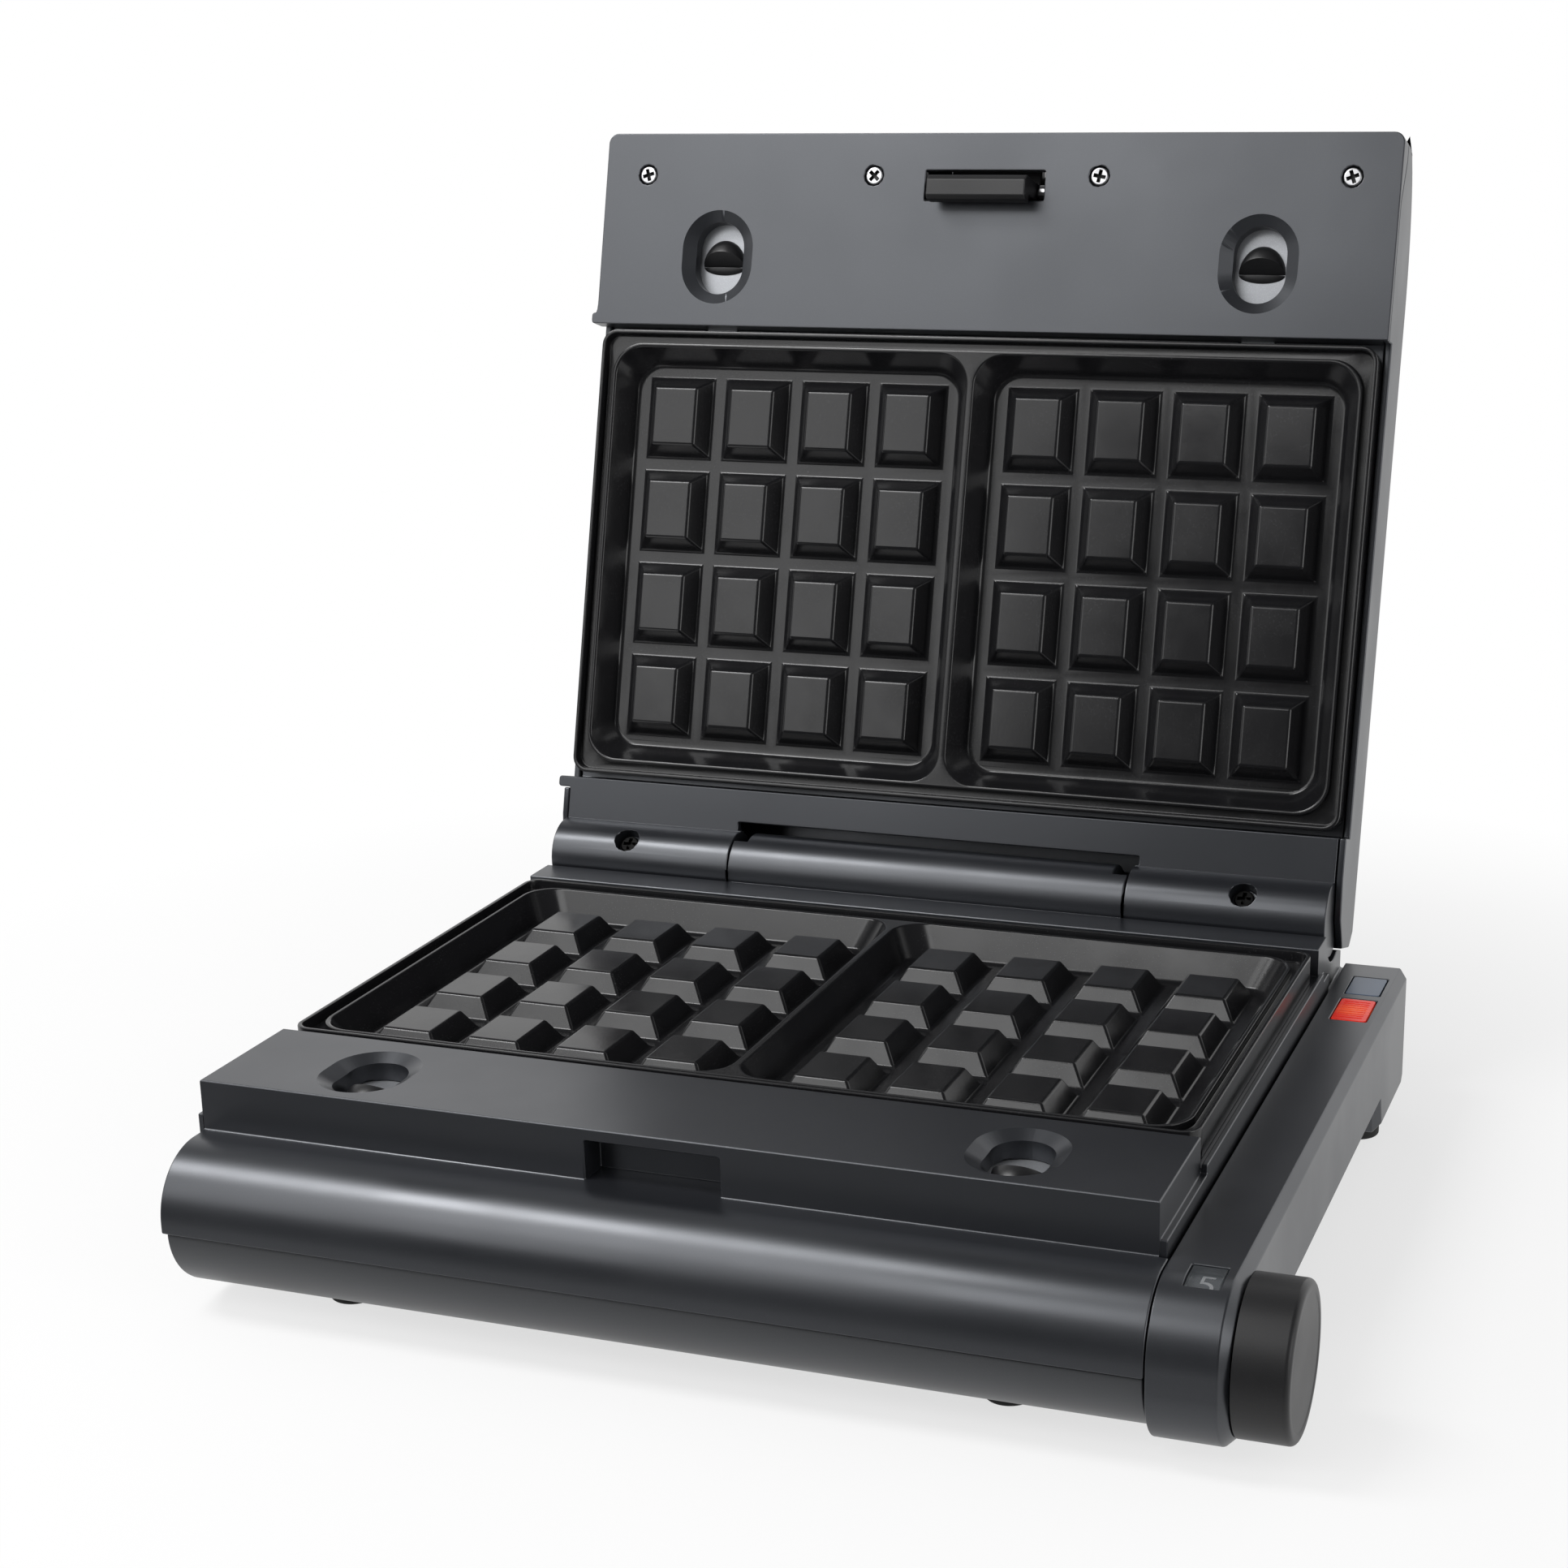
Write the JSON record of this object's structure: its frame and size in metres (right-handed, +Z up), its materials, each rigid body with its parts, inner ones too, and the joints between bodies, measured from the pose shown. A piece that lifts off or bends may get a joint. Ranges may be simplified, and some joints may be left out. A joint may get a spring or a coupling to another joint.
{
  "type": "snack maker",
  "caption": "Countertop waffle maker with a hinged lid, latch hook, patterned non-stick plates, plate release slides and a browning knob.",
  "frame": {"origin": "on the surface it stands on, under the middle of the box round the object with its lid open", "axes": "+Z up, -Y towards the person cooking, +X to that person's right, along the hinge"},
  "size_m": [0.2876, 0.3082, 0.2789],
  "materials": {
    "anthracite_plastic": "satin anthracite moulding with a fine texture",
    "roll_plastic": "satin anthracite, smooth",
    "dark_plastic": "near-black satin",
    "non_stick_aluminium": "cast aluminium under a near-black non-stick coat, half gloss",
    "steel": "zinc-plated steel",
    "reflector_aluminium": "bright rolled sheet",
    "rubber": "matte black rubber",
    "red_lens": "clear red lamp cap with ribs underneath",
    "grey_lens": "smoky blue-grey window",
    "circuit_board": "green circuit board",
    "insulator": "off-white heat-proof moulding"
  },
  "bodies": {
    "base": {"base_housing": "anthracite_plastic", "base_tray": "roll_plastic", "control_arm": "anthracite_plastic", "control_arm_bottom": "dark_plastic", "dial_window": "grey_lens", "ready_lens": "grey_lens", "power_lens": "red_lens", "lamp_board": "circuit_board", "thermostat": "insulator", "lower_plate": "non_stick_aluminium", "lower_heating_element": "steel", "lower_reflector": "reflector_aluminium", "thermal_fuse": "insulator", "terminal_block": "insulator", "cord_gland": "rubber", "foot_front_left": "rubber", "foot_front_right": "rubber", "foot_rear_left": "rubber", "foot_rear_right": "rubber", "base_screw_1": "steel", "base_screw_2": "steel", "base_screw_3": "steel", "base_screw_4": "steel", "lower_release_spring_left": "steel", "lower_release_spring_right": "steel"},
    "lid": {"lid_frame": "anthracite_plastic", "lid_cover": "anthracite_plastic", "hinge_pin_left": "steel", "hinge_pin_right": "steel", "hinge_screw_left": "steel", "hinge_screw_right": "steel", "lid_screw_1": "steel", "lid_screw_2": "steel", "lid_screw_3": "steel", "lid_screw_4": "steel", "upper_plate": "non_stick_aluminium", "upper_heating_element": "steel", "upper_reflector": "reflector_aluminium", "upper_release_spring_left": "steel", "upper_release_spring_right": "steel", "latch_pin": "steel", "latch_spring": "steel"},
    "knob": {"control_knob": "dark_plastic", "number_drum": "dark_plastic", "knob_shaft": "steel"},
    "latch": {"latch_hook": "dark_plastic"},
    "lower_left_release": {"lower_plate_release_left": "dark_plastic"},
    "lower_right_release": {"lower_plate_release_right": "dark_plastic"},
    "upper_left_release": {"upper_plate_release_left": "dark_plastic"},
    "upper_right_release": {"upper_plate_release_right": "dark_plastic"}
  },
  "joints": [
    {"name": "lid_hinge", "type": "hinge", "parent": "base", "child": "lid", "pos_m": [-0.01565, 0.07667, 0.0582], "axis": [1, 0, 0], "range_deg": [0, 105.7]},
    {"name": "knob_turn", "type": "hinge", "parent": "base", "child": "knob", "pos_m": [0.13435, -0.13453, 0.0238], "axis": [1, 0, 0], "range_deg": [-225, 45]},
    {"name": "latch_pivot", "type": "hinge", "parent": "lid", "child": "latch", "pos_m": [-0.01565, 0.13953, 0.26075], "axis": [-1, 0, 0], "range_deg": [0, 12], "stiffness_Nm_per_rad": 0.3, "springref_deg": -11.46, "deforming": ["latch_spring"]},
    {"name": "lower_left_slide", "type": "slide", "parent": "base", "child": "lower_left_release", "axis": [0, -1, 0], "range_m": [0, 0.003], "stiffness_N_per_m": 300, "springref_m": -0.002, "deforming": ["lower_release_spring_left"]},
    {"name": "lower_right_slide", "type": "slide", "parent": "base", "child": "lower_right_release", "axis": [0, -1, 0], "range_m": [0, 0.003], "stiffness_N_per_m": 300, "springref_m": -0.002, "deforming": ["lower_release_spring_right"]},
    {"name": "upper_left_slide", "type": "slide", "parent": "lid", "child": "upper_left_release", "axis": [0, 0.2706, 0.9627], "range_m": [0, 0.003], "stiffness_N_per_m": 300, "springref_m": -0.002, "deforming": ["upper_release_spring_left"]},
    {"name": "upper_right_slide", "type": "slide", "parent": "lid", "child": "upper_right_release", "axis": [0, 0.2706, 0.9627], "range_m": [0, 0.003], "stiffness_N_per_m": 300, "springref_m": -0.002, "deforming": ["upper_release_spring_right"]}
  ]
}
